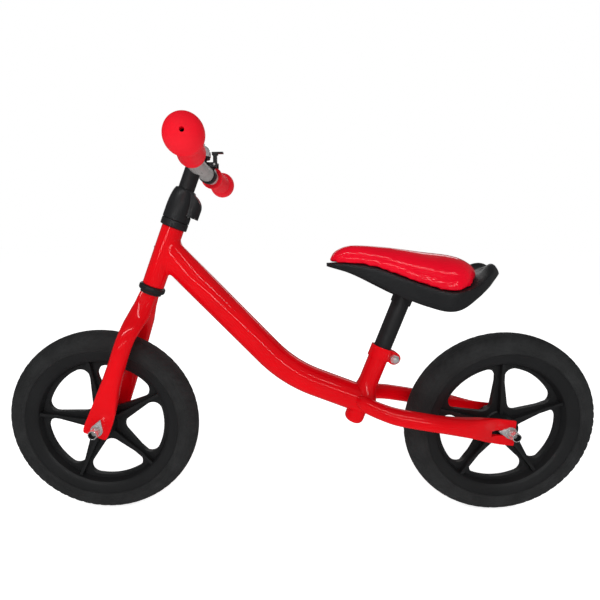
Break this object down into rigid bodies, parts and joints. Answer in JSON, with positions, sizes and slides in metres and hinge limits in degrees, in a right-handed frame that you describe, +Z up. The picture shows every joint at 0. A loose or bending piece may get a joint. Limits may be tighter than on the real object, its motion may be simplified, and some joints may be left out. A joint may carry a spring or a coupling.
{
  "type": "balance bike",
  "caption": "Child's balance bike without pedals: curved steel frame, foam-tyred spoked wheels, adjustable padded saddle and handlebar with ball-ended grips and a bell.",
  "frame": {"origin": "on the ground, midway between the two axles, in the bike's middle plane", "axes": "+X forwards, +Y to the rider's left, +Z up"},
  "size_m": [0.891, 0.3294, 0.5579],
  "materials": {
    "frame_paint": "glossy red paint",
    "black_plastic": "matt black moulded plastic",
    "black_tube": "semi-gloss black paint",
    "silver_tube": "satin silver paint",
    "grip": "matt red rubber",
    "saddle_cover": "glossy red artificial leather over foam",
    "tyre": "matt black foam",
    "rim": "satin black moulded plastic",
    "bright_plating": "bright chrome plating",
    "zinc_plating": "dull zinc plating"
  },
  "bodies": {
    "frame": {"head_tube": "frame_paint", "main_tube": "frame_paint", "seat_tube": "frame_paint", "seat_weld": "frame_paint", "left_stay": "frame_paint", "right_stay": "frame_paint", "seat_clamp": "frame_paint", "seat_clamp_bolt": "bright_plating", "lower_headset_bush": "black_plastic", "upper_headset_bush": "black_plastic", "rear_axle": "zinc_plating", "rear_axle_spacers": "zinc_plating", "rear_tab_washers": "bright_plating", "rear_axle_nuts": "zinc_plating", "rear_axle_sleeves": "bright_plating"},
    "fork": {"fork_steerer": "frame_paint", "crown_race": "black_tube", "left_fork_leg": "frame_paint", "right_fork_leg": "frame_paint", "stem_clamp": "zinc_plating", "stem_clamp_bolt": "zinc_plating", "stem_cover": "black_plastic", "front_axle": "zinc_plating", "front_axle_spacers": "zinc_plating", "front_tab_washers": "bright_plating", "front_axle_nuts": "zinc_plating", "front_axle_sleeves": "bright_plating"},
    "handlebar": {"stem_tube": "black_tube", "handlebar": "silver_tube", "left_grip": "grip", "right_grip": "grip", "bell_base": "black_plastic", "bell_dome": "bright_plating", "bell_screw": "zinc_plating", "bell_lever_pin": "zinc_plating"},
    "bell_lever": {"bell_lever": "black_plastic"},
    "front_wheel": {"front_tyre": "tyre", "front_rim": "rim", "front_bearings": "zinc_plating"},
    "rear_wheel": {"rear_tyre": "tyre", "rear_rim": "rim", "rear_bearings": "zinc_plating"},
    "saddle": {"seatpost": "black_tube", "saddle_bracket": "black_tube", "saddle_base": "black_plastic", "saddle_pad": "saddle_cover", "saddle_screws": "zinc_plating"}
  },
  "joints": [
    {"name": "steering", "type": "hinge", "parent": "frame", "child": "fork", "pos_m": [0.3025, 0, 0.143], "axis": [-0.3649, 0, 0.9311], "continuous": true},
    {"name": "front_wheel_spin", "type": "hinge", "parent": "fork", "child": "front_wheel", "pos_m": [0.3025, 0, 0.143], "axis": [0, 1, 0], "continuous": true},
    {"name": "rear_wheel_spin", "type": "hinge", "parent": "frame", "child": "rear_wheel", "pos_m": [-0.3025, 0, 0.143], "axis": [0, 1, 0], "continuous": true},
    {"name": "saddle_height", "type": "slide", "parent": "frame", "child": "saddle", "axis": [-0.319, 0, 0.9478], "range_m": [-0.035, 0.03]},
    {"name": "handlebar_height", "type": "slide", "parent": "fork", "child": "handlebar", "axis": [-0.3649, 0, 0.9311], "range_m": [-0.018, 0.025]},
    {"name": "bell_lever_flick", "type": "hinge", "parent": "handlebar", "child": "bell_lever", "pos_m": [0.13434, -0.05179, 0.5304], "axis": [-0.1063, -0.9943, 0], "range_deg": [0, 20], "stiffness_Nm_per_rad": 0.05, "springref_deg": -11.46}
  ]
}
